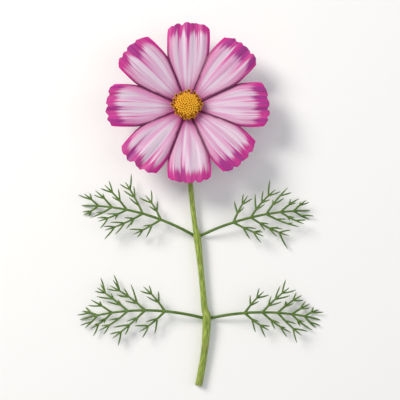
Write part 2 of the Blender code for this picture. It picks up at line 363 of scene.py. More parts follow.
@dataclass(frozen=True)
class PetalTissue:
    """Living ray-floret tissue: a pale face with a magenta margin that runs in along the veins.

    Its velvety cells give a soft satin with no sharp highlight, and light glows through it a little.
    """

    pale: str = "dac6d7"
    pale_warm: str = "d6a0c4"
    vein: str = "c673aa"
    blush: str = "a84c8c"
    margin: str = "c8168a"
    tip: str = "c01a86"
    tip_dark: str = "9a1a80"
    # Wine of the sides near the disc: partly the margin's pigment, partly painted shade between the petals.
    seam: str = "5a0a40"
    back: str = "d3a0c2"
    roughness: float = 0.5
    margin_mm: float = 1.45  # how wide the dark edge is along the sides
    tip_mm: float = 5.2  # how deep the tip's colour runs in, on average

    def veins(self, r: Recipe, across: float, along: float, spread: float) -> NodeSocket:
        """Noise that is fine across the petal and nearly constant along it, different on each petal.

        Args:
            r: The material's recipe.
            across: How many swells it has over the petal's width.
            along: How many it has over the petal's length.
            spread: How far apart two petals read it.

        Returns:
            The noise, round a half.
        """
        uv = r.add("UVMap", {"uv_map": "petal"})
        number = r.add("Attribute", {"attribute_name": "petal_number"}, 2)
        shift = r.add("CombineXYZ", s2=r.add("Math", MULTIPLY, s0=number, s1=spread))
        place = r.add("VectorMath", MULTIPLY_ADD, s0=uv, s1=(across, along, 0.0), s2=shift)
        return r.add("TexNoise", s0=place, s2=1.0, s3=1.0)

    def face(self, r: Recipe, fine: NodeSocket, broad: NodeSocket) -> NodeSocket:
        """The pale face with its veins, darker towards the disc.

        Args:
            r: The material's recipe.
            fine: The fine veins.
            broad: The broad veins.

        Returns:
            The face's colour.
        """
        warm = r.add("MapRange", EASED, s0=broad, s1=0.42, s2=0.62)
        line = r.add("MapRange", EASED, s0=fine, s1=0.5, s2=0.72, s3=0.0, s4=0.42)
        base = r.add("Attribute", {"attribute_name": "base_mm"}, 2)
        near = r.add("MapRange", EASED, s0=base, s1=0.5, s2=9.5, s3=1.0, s4=0.0)
        uneven = r.add("Math", MULTIPLY_ADD, s0=fine, s1=0.9, s2=0.38)
        flush = r.add("Math", MINIMUM, s0=r.add("Math", MULTIPLY, s0=near, s1=uneven), s1=1.0)
        ground = linear(self.pale)
        for share, colour in ((warm, self.pale_warm), (line, self.vein), (flush, self.blush)):
            ground = r.add("Mix", COLOURS, 2, s0=share, s6=ground, s7=linear(colour))
        return ground

    def edge(self, r: Recipe, ground: NodeSocket, fine: NodeSocket, broad: NodeSocket) -> NodeSocket:
        """The magenta edge: flames that run in from the tip along the veins, and dark sides that carry
        painted shade near the disc.

        Args:
            r: The material's recipe.
            ground: The face's colour.
            fine: The fine veins.
            broad: The broad veins.

        Returns:
            The petal's colour.
        """
        tip = r.add("Attribute", {"attribute_name": "tip_mm"}, 2)
        depth = r.add("Math", MULTIPLY_ADD, s0=broad, s1=9.0, s2=self.tip_mm - 9.0)
        depth = r.add("Math", MULTIPLY_ADD, s0=fine, s1=9.0, s2=depth)
        beyond = r.add("Math", SUBTRACT, s0=tip, s1=depth)
        flame = r.add("MapRange", EASED, s0=beyond, s1=-1.6, s2=2.2, s3=0.94, s4=0.0)
        streak = r.add("MapRange", EASED, s0=fine, s1=0.5, s2=0.68, s3=0.0, s4=0.75)
        fading = r.add("MapRange", EASED, s0=beyond, s1=0.0, s2=9.0, s3=1.0, s4=0.0)
        streak = r.add("Math", MULTIPLY, s0=streak, s1=fading)

        margin = r.add("Attribute", {"attribute_name": "margin_mm"}, 2)
        wobble = r.add("TexNoise", s0=r.add("UVMap", {"uv_map": "petal"}), s2=9.0)
        side = r.add("Math", MULTIPLY_ADD, s0=wobble, s1=0.9, s2=margin)
        side = r.add("Math", SUBTRACT, s0=side, s1=0.45)
        width = self.margin_mm
        glow = r.add("MapRange", EASED, s0=side, s1=0.5 * width, s2=3.0 * width, s3=0.5, s4=0.0)
        core = r.add("MapRange", EASED, s0=side, s1=0.25 * width, s2=1.15 * width, s3=1.0, s4=0.0)

        for share in (streak, glow):
            ground = r.add("Mix", COLOURS, 2, s0=share, s6=ground, s7=linear(self.margin))
        dark = r.add("MapRange", EASED, s0=broad, s1=0.45, s2=0.62)
        tip_colour = r.add("Mix", COLOURS, 2, s0=dark, s6=linear(self.tip), s7=linear(self.tip_dark))
        line = r.add("MapRange", EASED, s0=fine, s1=0.52, s2=0.7, s3=0.0, s4=0.45)
        tip_colour = r.add("Mix", COLOURS, 2, s0=line, s6=tip_colour, s7=linear(self.margin))
        ground = r.add("Mix", COLOURS, 2, s0=flame, s6=ground, s7=tip_colour)

        # The sides darken from magenta near the tip to wine near the disc, where the petals overlap: partly
        # the margin's own pigment, partly painted shade between the petals.
        base = r.add("Attribute", {"attribute_name": "base_mm"}, 2)
        inner = r.add("MapRange", EASED, s0=base, s1=14.0, s2=27.0, s3=1.0, s4=0.0)
        side_pigment_and_shade = r.add("Mix", COLOURS, 2, s0=inner, s6=linear(self.margin), s7=linear(self.seam))
        return r.add("Mix", COLOURS, 2, s0=core, s6=ground, s7=side_pigment_and_shade)

    def make(self) -> Material:
        """Builds the material from the petal's UV map and its attributes.

        Returns:
            The material.
        """
        r = Recipe("petal_living_ray_tissue")
        # About 40 veins show on a 19 mm petal, coarser than the real ones, which are too fine to show.
        fine = self.veins(r, 22.0, 1.1, 7.3)
        broad = self.veins(r, 8.0, 0.8, 3.1)
        colour = self.edge(r, self.face(r, fine, broad), fine, broad)
        under = r.add("Attribute", {"attribute_name": "underside"}, 2)
        under = r.add("Math", MULTIPLY, s0=under, s1=0.6)
        colour = r.add("Mix", COLOURS, 2, s0=under, s6=colour, s7=linear(self.back))
        r.link(colour, "Base Color")

        # Velvet cells, 0.35 mm apart so that they show, and the veins as soft ridges.
        cells = r.add("TexNoise", s0=r.add("TexCoord", out=3), s2=1.0 / (0.35 * MM), s3=1.0)
        height = r.add("Math", MULTIPLY_ADD, s0=cells, s1=0.18, s2=fine)
        r.link(r.add("Bump", Strength=0.4, Distance=0.22 * MM, Height=height), "Normal")
        r.link(r.add("Math", MULTIPLY_ADD, s0=cells, s1=0.14, s2=self.roughness - 0.07), "Roughness")
        r.set(IOR=1.4, Subsurface_Weight=0.12, Subsurface_Radius=(1.0, 0.6, 0.8),
              Subsurface_Scale=0.12 * MM, Sheen_Weight=0.05, Sheen_Roughness=0.4)
        return r.material


@dataclass(frozen=True)
class GreenTissue:
    """Living green tissue: stem, leaf or bract, with streaks along it and a soft waxy satin."""

    name: str
    base: str
    light: str
    dark: str
    tinge: str
    tinge_share: float
    streak_mm: float
    mottle_mm: float
    roughness: float
    translucent: float

    def make(self) -> Material:
        """Builds the material from a UV map that runs round the piece and along it, in millimetres.

        Returns:
            The material.
        """
        r = Recipe(self.name)
        uv = r.add("UVMap", {"uv_map": "along"})
        stretched = r.add("Mapping", s0=uv, s3=(1.0 / self.streak_mm, 0.12 / self.streak_mm, 1.0))
        streaks = r.add("TexNoise", s0=stretched, s2=1.0, s3=2.0)
        mottle = r.add("TexNoise", s0=r.add("TexCoord", out=3), s2=1.0 / (self.mottle_mm * MM), s3=3.0)
        stops = ((0.34, self.dark), (0.5, self.base), (0.66, self.light))
        tone = r.add("ValToRGB", {"stops": stops}, s0=streaks)
        patch = r.add("MapRange", EASED, s0=mottle, s1=0.5, s2=0.72, s3=0.0, s4=self.tinge_share)
        r.link(r.add("Mix", COLOURS, 2, s0=patch, s6=tone, s7=linear(self.tinge)), "Base Color")
        r.link(r.add("Bump", Strength=0.35, Distance=0.08 * MM, Height=streaks), "Normal")
        r.link(r.add("Math", MULTIPLY_ADD, s0=mottle, s1=0.2, s2=self.roughness - 0.1), "Roughness")
        r.set(IOR=1.42, Subsurface_Weight=self.translucent, Subsurface_Radius=(0.6, 1.0, 0.2),
              Subsurface_Scale=0.5 * MM)
        return r.material


@dataclass(frozen=True)
class FloretTissue:
    """Disc floret tissue: corollas, anthers and pollen, matte and grainy, with painted shade that darkens
    each floret's foot and the hollows between them.
    """

    name: str
    low: str
    middle: str
    high: str
    grain_mm: float
    roughness: float

    def make(self) -> Material:
        """Builds the material. The height attribute runs from 0 at a floret's foot to 1 at its top.

        Returns:
            The material.
        """
        r = Recipe(self.name)
        height = r.add("Attribute", {"attribute_name": "height"}, 2)
        place = r.add("TexCoord", out=3)
        grain = r.add("TexNoise", s0=place, s2=1.0 / (self.grain_mm * MM), s3=3.0)
        patch = r.add("TexNoise", s0=place, s2=1.0 / (1.6 * MM), s3=1.0)
        shift = r.add("Math", MULTIPLY_ADD, s0=grain, s1=0.5, s2=-0.25)
        shift = r.add("Math", MULTIPLY_ADD, s0=patch, s1=0.5, s2=shift)
        value = r.add("Math", ADD, s0=height, s1=shift)
        # The low stop is painted shade at each floret's foot and in the hollows between florets.
        stops = ((0.2, self.low), (0.62, self.middle), (1.0, self.high))
        r.link(r.add("ValToRGB", {"stops": stops}, s0=value), "Base Color")
        r.link(r.add("Bump", Strength=0.5, Distance=0.08 * MM, Height=grain), "Normal")
        r.set(Roughness=self.roughness, IOR=1.4, Subsurface_Weight=0.15,
              Subsurface_Radius=(1.0, 0.6, 0.2), Subsurface_Scale=0.4 * MM)
        return r.material


# --- Head ---


@dataclass
class PetalShape:
    """One ray petal. Lengths are from the head's axis to the tip; cup and angle are in degrees."""

    angle: float
    length: float
    half_width: float
    cup: float
    pleat: float
    notches: tuple[tuple[float, float], ...]  # places across the tip from -1 to 1, and their depths


@dataclass
class Head:
    """The flower head, in its own frame: its origin is the receptacle's foot, and it faces +Z."""

    foot: Vector
    petal_material: Material
    bract_material: Material
    petal_thickness: float = 0.22
    petal_base_radius: float = 4.3
    petal_base_height: float = 3.2
    whorl_step: float = 0.55  # how much higher every second petal stands
    overlap: float = 0.5
    sharpness: float = 14.0  # of the turn from the straight side to the widest part
    notch_width: float = 0.10
    corner_drop: float = 0.085  # how far the tip's corners draw back, as a share of the length
    claw_slope: float = 0.34
    claw_length: float = 4.0
    recurve_from: float = 0.62  # share of the length where the petal starts to turn back
    recurve: float = 12.0
    fine_pleat: float = 0.10
    droop: float = 0.55
    ruffle: float = 0.32
    columns: int = 44
    rows: int = 52
    bracts: int = 8
    bract_rib: float = 0.12
    petals: tuple[PetalShape, ...] = (
        PetalShape(0.0, 36.2, 10.3, 9.0, 0.30, ((-0.62, 0.5), (-0.18, 0.9), (0.30, 1.0), (0.68, 0.5))),
        PetalShape(46.0, 37.0, 9.7, 11.0, 0.30, ((-0.45, 1.1), (0.02, 0.5), (0.40, 1.0), (0.75, 0.4))),
        PetalShape(89.0, 37.6, 9.5, 12.0, 0.32, ((-0.55, 0.7), (-0.12, 0.8), (0.32, 1.1), (0.70, 0.5))),
        PetalShape(135.0, 36.8, 9.8, 12.0, 0.22, ((-0.68, 0.5), (-0.30, 0.9), (0.20, 0.6), (0.55, 0.9))),
        PetalShape(181.0, 35.6, 9.8, 11.0, 0.26, ((-0.50, 1.0), (0.05, 0.8), (0.55, 0.9))),
        PetalShape(230.0, 35.8, 9.9, 8.0, 0.50, ((-0.60, 0.6), (-0.05, 1.3), (0.50, 0.8))),
        PetalShape(272.0, 35.4, 9.6, 7.0, 0.34, ((-0.62, 0.5), (-0.30, 0.9), (0.25, 1.0), (0.66, 0.5))),
        PetalShape(314.0, 35.8, 10.0, 8.0, 0.38, ((-0.52, 0.9), (-0.08, 0.6), (0.42, 1.1), (0.76, 0.4))),
    )

    def __post_init__(self) -> None:
        """Works out the head's place in the frame, for meshes made in millimetres."""
        lean = Matrix.Rotation(-math.radians(HEAD_LEAN), 4, "X")
        self.place = Matrix.Translation(self.foot) @ lean @ Matrix.Scale(MM, 4)

    def half_width(self, petal: PetalShape, radius: float, half_angle: float) -> float:
        """Half a petal's width.

        Args:
            petal: The petal.
            radius: Distance from the head's axis.
            half_angle: Degrees to the seam on this side.

        Returns:
            Half the width there, in millimetres.
        """
        wedge = math.tan(math.radians(half_angle)) * radius + self.overlap
        past = max(0.0, radius / petal.length - 0.8)
        widest = petal.half_width * (1.0 - 2.0 * past * past)
        return (wedge ** -self.sharpness + widest ** -self.sharpness) ** (-1.0 / self.sharpness)

    def tip_reach(self, petal: PetalShape, across: float, draw: list[float]) -> float:
        """How far the petal reaches, teeth and notches included.

        Args:
            petal: The petal.
            across: The place across it, from -1 to 1.
            draw: Its two phases and its skew.

        Returns:
            Distance from the head's axis, in millimetres.
        """
        notch = sum(depth * math.exp(-(((across - place) / self.notch_width) ** 2))
                    for place, depth in petal.notches)
        fringe = 0.16 * math.sin(17.0 * across + draw[0]) + 0.10 * math.sin(31.0 * across + draw[1])
        skew = 0.5 * draw[2] * across
        return petal.length * (1.0 - self.corner_drop * abs(across) ** 3.6) - notch + fringe + skew

    def make_petal(self, number: int) -> Object:
        """One ray petal as a thin closed sheet: pleated, cupped, its tip turned back and ruffled.

        Args:
            number: Which petal, from 0.

        Returns:
            The finished piece.
        """
        petal = self.petals[number]
        count = len(self.petals)
        after = (self.petals[(number + 1) % count].angle - petal.angle) % 360.0 / 2.0
        before = (petal.angle - self.petals[number - 1].angle) % 360.0 / 2.0
        chance = random.Random(40 + number)
        draw = [chance.uniform(0.0, math.tau), chance.uniform(0.0, math.tau), chance.uniform(-1.0, 1.0)]
        ruffle_phase = chance.uniform(0.0, math.tau)
        deselect_all()
        bpy.ops.mesh.primitive_grid_add(x_subdivisions=self.columns, y_subdivisions=self.rows, size=2.0)
        piece = bpy.context.object
        piece.name = f"ray_petal_{number + 1}_blade"
        mesh = piece.data
        names = ("margin_mm", "tip_mm", "base_mm", "petal_number")
        for name in names:
            mesh.attributes.new(name, "FLOAT", "POINT")
        facts = [mesh.attributes[name] for name in names]
        spots = []
        cup = math.tan(math.radians(petal.cup))
        for vertex in mesh.vertices:
            across, along = vertex.co.x, (vertex.co.y + 1.0) / 2.0
            spots.append(((across + 1.0) / 2.0, along))
            end = self.tip_reach(petal, across, draw)
            radius = self.petal_base_radius + along * (end - self.petal_base_radius)
            half = self.half_width(petal, radius, after if across >= 0.0 else before)
            out = radius - self.petal_base_radius
            claw = (self.claw_slope - cup) * self.claw_length * (1.0 - math.exp(-out / self.claw_length))
            past = max(0.0, radius / petal.length - self.recurve_from)
            reach = smooth_step(0.08, 0.9, along)
            folds = petal.pleat * math.cos(3.0 * math.pi * across) * reach
            folds += self.fine_pleat * math.cos(8.0 * math.pi * across + draw[0]) * reach
            droop = -self.droop * across * across * reach
            ruffle = self.ruffle * math.sin(7.0 * across + ruffle_phase) * smooth_step(0.72, 1.0, along)
            height = cup * out + claw - self.recurve * past * past + folds + droop + ruffle
            for fact, value in zip(facts, ((1.0 - abs(across)) * half, end - radius, out, float(number))):
                fact.data[vertex.index].value = value
            vertex.co = (radius, across * half, height)
        lay_pattern(piece, "petal", spots)
        rise = self.petal_base_height + self.whorl_step * (number % 2)
        turn = Matrix.Rotation(math.radians(petal.angle), 4, "Z")
        place_mesh(piece, turn @ Matrix.Translation((0.0, 0.0, rise)))
        sheet_count = len(mesh.vertices)  # the sheet faces down, so it becomes the underside
        shell = piece.modifiers.new("thickness", "SOLIDIFY")
        shell.thickness = self.petal_thickness
        shell.offset = -1.0
        apply_modifiers(piece)
        under = mesh.attributes.new("underside", "FLOAT", "POINT")
        for vertex in mesh.vertices:
            under.data[vertex.index].value = float(vertex.index < sheet_count)
        return hand_over(piece, self.place, Slot.PETAL, self.petal_material, f"ray_petal_{number + 1}",
                         crease=60.0)

    def make_bract(self, node: str, angle: float, profile: list[tuple[float, float]], half_width: float,
                   thickness: float) -> Object:
        """One pointed bract with a raised midrib.

        Args:
            node: The frame's node that it stands for.
            angle: Its direction round the head, in degrees.
            profile: Radius and height of its middle line, from base to tip.
            half_width: Half its width at its base, in millimetres.
            thickness: Its thickness, in millimetres.

        Returns:
            The finished piece.
        """
        path = catmull_rom(profile, 6)
        deselect_all()
        bpy.ops.mesh.primitive_grid_add(x_subdivisions=8, y_subdivisions=len(path) - 1, size=2.0)
        piece = bpy.context.object
        piece.name = f"{node}_blade"
        spots = []
        for vertex in piece.data.vertices:
            across = vertex.co.x
            row = round((vertex.co.y + 1.0) / 2.0 * (len(path) - 1))
            t = row / (len(path) - 1)
            radius, height = path[row]
            half = half_width * (0.7 + 1.3 * t) * (1.0 - 0.93 * t ** 1.7)
            rib = self.bract_rib * math.exp(-((across / 0.22) ** 2))
            spots.append((across * half, radius))
            vertex.co = (radius, across * half, height + 0.25 * across * across - rib)
        lay_pattern(piece, "along", spots)
        shell = piece.modifiers.new("thickness", "SOLIDIFY")
        shell.thickness = thickness
        shell.offset = 0.0
        rounding = piece.modifiers.new("rounding", "SUBSURF")
        rounding.levels = rounding.render_levels = 1
        apply_modifiers(piece)
        place = self.place @ Matrix.Rotation(math.radians(angle), 4, "Z")
        return hand_over(piece, place, Slot.BRACT, self.bract_material, node)

    def make_receptacle(self) -> Object:
        """The green cup that carries the head, a turned shape with faint ribs and a sunk top.

        Returns:
            The finished piece.
        """
        piece = turned("receptacle_cup", 48, [(1.25, 0.0), (1.9, 0.15), (2.6, 0.5), (3.2, 0.9), (3.7, 1.4),
                                              (4.05, 2.1), (4.2, 2.8), (4.1, 3.3), (3.5, 3.1)])
        for vertex in piece.data.vertices:
            wave = 1.0 + 0.03 * math.cos(2 * self.bracts * math.atan2(vertex.co.y, vertex.co.x))
            vertex.co.x *= wave
            vertex.co.y *= wave
        points = [vertex.co for vertex in piece.data.vertices]
        lay_pattern(piece, "along", [(math.atan2(point.y, point.x) * 3.0, point.z) for point in points])
        return hand_over(piece, self.place, Slot.BRACT, self.bract_material, "receptacle")

    def build(self) -> None:
        """Builds the receptacle, the petals and both rows of bracts."""
        self.make_receptacle()
        for number in range(len(self.petals)):
            self.make_petal(number)
        step = 360.0 / self.bracts
        for number in range(self.bracts):
            droop = 0.5 * (number % 3)
            inner = [(4.3, 1.9), (6.0, 2.45), (7.8, 2.9), (9.4, 3.25)]
            outer = [(3.5, 0.75), (6.0, 0.9), (9.0, 0.4 - droop), (12.4, -0.6 - 2.0 * droop)]
            self.make_bract(f"inner_bract_{number + 1}", step * number, inner, 1.5, 0.25)
            self.make_bract(f"outer_bract_{number + 1}", step * (number + 0.5), outer, 0.95, 0.35)


@dataclass
class Disc:
    """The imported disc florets: closed buds in a spiral on the dome, and a ring of open ones round it."""

    place: Matrix
    bud_material: Material
    corolla_material: Material
    anther_material: Material
    buds: int = 96
    dome_radius: float = 4.75
    dome_top: float = 8.75
    core_foot: float = 3.5
    collar_foot: float = 3.4
    open_count: int = 18
    ring_radius: float = 5.0
    ring_height: float = 4.6
    ring_lean: float = 17.0
    anther_height: float = 2.35  # of the anther tube's foot above the floret's
    style_height: float = 4.1
    hollow_shade_level: float = 0.3  # how dark the painted shade on the ground between the florets is, on the height attribute

    def dome_height(self, radius: float) -> float:
        """Height of the floret tops above the head's foot, this far from its axis."""
        return self.dome_top - 0.028 * radius * radius - 0.0011 * radius ** 4

    def scatter(self, name: str, model: Object, places: list[Matrix], material: Material, *nodes: str,
                ground: tuple[Object, ...] = ()) -> Object:
        """Copies one small model to each of its places and joins the copies.

        Args:
            name: The piece's name.
            model: The model, which is used up.
            places: Where the copies go.
            material: Their material.
            nodes: The frame's nodes that they stand for.
            ground: What they stand on, joined with them.

        Returns:
            The finished piece.
        """
        copies = [copy_of(model, place) for place in places]
        bpy.data.objects.remove(model)
        return hand_over(join([*ground, *copies], name), self.place, Slot.DISC, material, *nodes, crease=40.0)

    def make_buds(self) -> Object:
        """The closed florets on the dome, smaller and tighter in the middle.

        Returns:
            The finished piece.
        """
        chance = random.Random(5)
        places = []
        for number in range(self.buds):
            share = (number + 0.5) / self.buds
            radius = self.dome_radius * math.sqrt(share)
            turn = number * GOLDEN_ANGLE
            size = (0.74 + 0.18 * share) * chance.uniform(0.93, 1.07)
            foot = self.dome_height(radius) - 1.05 * size
            at = Matrix.Translation((radius * math.cos(turn), radius * math.sin(turn), foot))
            lean = Matrix.Rotation(math.radians(26.0 * share + chance.uniform(-5, 5)), 4,
                                   Vector((-math.sin(turn), math.cos(turn), 0.0)))
            spin = Matrix.Rotation(chance.uniform(0.0, math.tau), 4, "Z")
            places.append(at @ lean @ spin @ Matrix.Scale(size, 4))
        bud = turned("bud", 10, [(0.34, 0.0), (0.52, 0.5), (0.62, 0.9), (0.54, 1.2), (0.32, 1.36),
                                 (0.14, 1.28)], 0.17)
        core = turned("core", 40, [(2.4, 0.0), (3.3, 1.7), (4.4, 3.1), (4.5, 3.6), (3.6, 4.1), (2.0, 4.4),
                                   (0.6, 4.5)])
        # The dome under the buds takes the painted shade of the hollows.
        for item in core.data.attributes["height"].data:
            item.value = self.hollow_shade_level
        place_mesh(core, Matrix.Translation((0.0, 0.0, self.core_foot)))
        return self.scatter("disc_buds", bud, places, self.bud_material, "disc_florets_inner", ground=(core,))

    def ring_places(self) -> list[tuple[Matrix, float]]:
        """Where the open florets stand.

        Returns:
            For each, its place and the size it has.
        """
        chance = random.Random(11)
        places = []
        for number in range(self.open_count):
            turn = math.tau * (number + chance.uniform(-0.12, 0.12)) / self.open_count
            radius = self.ring_radius + chance.uniform(-0.2, 0.25)
            lean = math.radians(self.ring_lean + chance.uniform(-6.0, 8.0))
            at = Matrix.Translation((radius * math.cos(turn), radius * math.sin(turn), self.ring_height))
            tilt = Matrix.Rotation(lean, 4, Vector((-math.sin(turn), math.cos(turn), 0.0)))
            places.append((at @ tilt, chance.uniform(0.9, 1.08)))
        return places

    def make_corollas(self) -> Object:
        """The open florets' tubes, each flaring into five lobes that turn back.

        Returns:
            The finished piece.
        """
        tube = turned("tube", 20, [(0.3, 0.0), (0.42, 1.2), (0.52, 2.2), (0.66, 2.7), (0.95, 3.0),
                                   (1.0, 2.92), (0.6, 2.75), (0.4, 2.5)])
        for vertex in tube.data.vertices:
            flare = smooth_step(0.55, 0.95, vertex.co.xy.length)
            lobe = 0.5 + 0.5 * math.cos(5.0 * math.atan2(vertex.co.y, vertex.co.x))
            vertex.co.x *= 1.0 + flare * (0.72 * lobe - 0.42)
            vertex.co.y *= 1.0 + flare * (0.72 * lobe - 0.42)
            vertex.co.z -= flare * 0.3 * (lobe - 0.5)
        collar = turned("collar", 48, [(3.0, 0.0), (4.4, 0.1), (5.4, 1.2), (5.7, 2.2), (5.2, 3.0),
                                       (4.4, 3.2)])
        place_mesh(collar, Matrix.Translation((0.0, 0.0, self.collar_foot)))
        # The collar takes the painted shade of the hollows, darkest at its foot.
        for item in collar.data.attributes["height"].data:
            item.value *= self.hollow_shade_level
        places = [place @ Matrix.Scale(size, 4) for place, size in self.ring_places()]
        return self.scatter("disc_open_florets", tube, places, self.corolla_material, "disc_florets_outer",
                            ground=(collar,))

    def make_anthers(self) -> Object:
        """The dark anther tubes that stand out of the open florets.

        Returns:
            The finished piece.
        """
        tube = turned("anther", 10, [(0.3, 0.0), (0.35, 1.0), (0.34, 1.5), (0.24, 1.8), (0.08, 1.92)])
        rise = Matrix.Translation((0.0, 0.0, self.anther_height))
        places = [place @ rise @ Matrix.Scale(size, 4) for place, size in self.ring_places()]
        return self.scatter("disc_anthers", tube, places, self.anther_material)

    def make_pollen(self) -> Object:
        """The forked style tips, yellow with pollen, on top of the anther tubes.

        Returns:
            The finished piece.
        """
        chance = random.Random(23)
        places = []
        for place, size in self.ring_places():
            for side in (1.0, -1.0):
                fork = Matrix.Rotation(side * math.radians(38.0), 4, "X")
                spin = Matrix.Rotation(chance.uniform(0.0, math.tau), 4, "Z")
                places.append(place @ Matrix.Translation((0.0, 0.0, self.style_height * size)) @ spin @ fork)
        tip = turned("style", 6, [(0.09, 0.0), (0.17, 0.2), (0.2, 0.42), (0.1, 0.6)])
        return self.scatter("disc_pollen_tips", tip, places, self.bud_material)

    def build(self) -> None:
        """Builds the four groups of florets."""
        self.make_buds()
        self.make_corollas()
        self.make_anthers()
        self.make_pollen()


# --- Stem and leaves ---


def swept(name: str, path: list[tuple[float, float, float, float]], sides: int, ribs: int = 0,
          rib_depth: float = 0.0, flatten: float = 1.0) -> Object:
    """A closed tube along a path, in millimetres: a grid rolled up round it, welded, its ends filled.

    Args:
        name: The piece's name.
        path: Its stations as (x, y, z, radius).
        sides: Corners of its section.
        ribs: How many lengthwise ribs it has.
        rib_depth: How far they stand out, as a share of the radius.
        flatten: Its thickness as a share of its width.

    Returns:
        The tube, with its "along" UV map in millimetres.
    """
    last = len(path) - 1
    stations, total, previous = [], 0.0, None
    across = None
    for number, (x, y, z, radius) in enumerate(path):
        centre = Vector((x, y, z))
        ahead = Vector(path[min(number + 1, last)][:3]) - Vector(path[max(number - 1, 0)][:3])
        ahead.normalize()
        if across is None:
            across = ahead.cross(Vector((0.0, 0.0, 1.0))).normalized()
        across = (across - ahead * across.dot(ahead)).normalized()
        total += (centre - previous).length if number else 0.0
        stations.append((centre, across, across.cross(ahead), radius, total))
        previous = centre
    girth = math.tau * sum(station[3] for station in path) / len(path)
    deselect_all()
    bpy.ops.mesh.primitive_grid_add(x_subdivisions=sides, y_subdivisions=last, size=2.0, calc_uvs=False)
    piece = bpy.context.object
    piece.name = name
    spots = []
    for vertex in piece.data.vertices:
        share = (vertex.co.x + 1.0) / 2.0
        centre, side, up, radius, length = stations[round((vertex.co.y + 1.0) / 2.0 * last)]
        turn = math.tau * share
        reach = radius * (1.0 + rib_depth * math.cos(ribs * turn))
        vertex.co = centre + side * math.cos(turn) * reach + up * math.sin(turn) * reach * flatten
        spots.append((girth * share, length))
    lay_pattern(piece, "along", spots)
    bpy.ops.object.mode_set(mode="EDIT")
    bpy.ops.mesh.select_all(action="SELECT")
    bpy.ops.mesh.remove_doubles(threshold=WELD)
    bpy.ops.mesh.fill_holes(sides=0)
    bpy.ops.mesh.select_all(action="SELECT")
    bpy.ops.mesh.normals_make_consistent(inside=False)
    bpy.ops.object.mode_set(mode="OBJECT")
    uv_map = piece.data.uv_layers["along"]
    for face in piece.data.polygons:
        if len(face.vertices) > 4:  # an end
            for index in face.loop_indices:
                point = piece.data.vertices[piece.data.loops[index].vertex_index].co
                uv_map.data[index].uv = (point.x, point.z)
    return piece


@dataclass
class Stem:
    """The stem from its cut end to the neck, in the plant's frame: x and y from below the head."""

    origin: Vector
    material: Material
    pith_material: Material
    route: tuple[tuple[float, float, float, float], ...] = (  # x, y, height off the surface, radius
        (5.0, -122.0, 0.0, 1.50), (7.6, -107.0, 0.5, 1.45), (8.6, -93.0, 0.9, 1.75),
        (7.6, -88.0, 1.0, 1.35), (6.2, -73.0, 1.3, 1.20), (4.4, -57.0, 1.2, 1.50),
        (3.4, -52.0, 1.3, 1.10), (1.6, -36.0, 1.6, 1.05), (0.3, -20.0, 0.9, 1.00),
        (0.0, -10.0, 0.2, 1.00),
    )
    bend_radius: float = 5.0
    bend_steps: int = 14
    neck_radius: float = 1.0
    ribs: int = 8
    rib_depth: float = 0.045
    cut_slope: float = 0.35  # how far the cut leans, for each millimetre of height
    cut_inset: float = 0.35
    pith_inset: float = 0.27
    pith_depth: float = 0.5
    pith_shares: tuple[float, float] = (0.55, 0.60)  # its radii at the cut and below it, of the stem's

    def path(self) -> list[tuple[float, float, float, float]]:
        """The stem's route, with its neck bent up to the head.

        Returns:
            Its stations as (x, y, z, radius), in millimetres. The last one is at y = 0.
        """
        route = [(x, y, lift + radius, radius) for x, y, lift, radius in self.route]
        start_y = -self.bend_radius * math.cos(math.radians(HEAD_LEAN))
        turn = math.radians(90.0 - HEAD_LEAN)
        arc = []
        for step in range(self.bend_steps + 1):
            share = step / self.bend_steps
            angle = turn * share
            arc.append((0.0, start_y + self.bend_radius * math.sin(angle),
                        self.neck_radius + self.bend_radius * (1.0 - math.cos(angle)),
                        self.neck_radius + 0.3 * share ** 3))
        return catmull_rom([*route, arc[0]], 9)[:-1] + arc

    def build(self) -> None:
        """Builds the ribbed stem and the pale pith in its cut end."""
        path = self.path()
        end = Vector(path[0][:3])
        ahead = (Vector(path[1][:3]) - end).normalized()
        to_frame = Matrix.Translation(self.origin) @ Matrix.Scale(MM, 4)
        stalk = swept("stem_stalk", path, 40, ribs=self.ribs, rib_depth=self.rib_depth)
        for vertex in stalk.data.vertices:
            if (vertex.co - end).dot(ahead) < 0.05:
                vertex.co += ahead * (self.cut_inset + self.cut_slope * (vertex.co.z - end.z))
        hand_over(stalk, to_frame, Slot.STEM, self.material, "stem")
        radii = [path[0][3] * share for share in self.pith_shares]
        pith = swept("stem_pith", [(*end, radii[0]), (*(end + ahead * self.pith_depth), radii[1])], 24)
        for vertex in pith.data.vertices:
            vertex.co += ahead * (self.pith_inset + self.cut_slope * (vertex.co.z - end.z))
        hand_over(pith, to_frame, Slot.STEM, self.pith_material)


@dataclass
class LeafPoint:
    """One point of a leaf's skeleton, in millimetres."""

    place: Vector
    height: float
    half_width: float
    parent: int


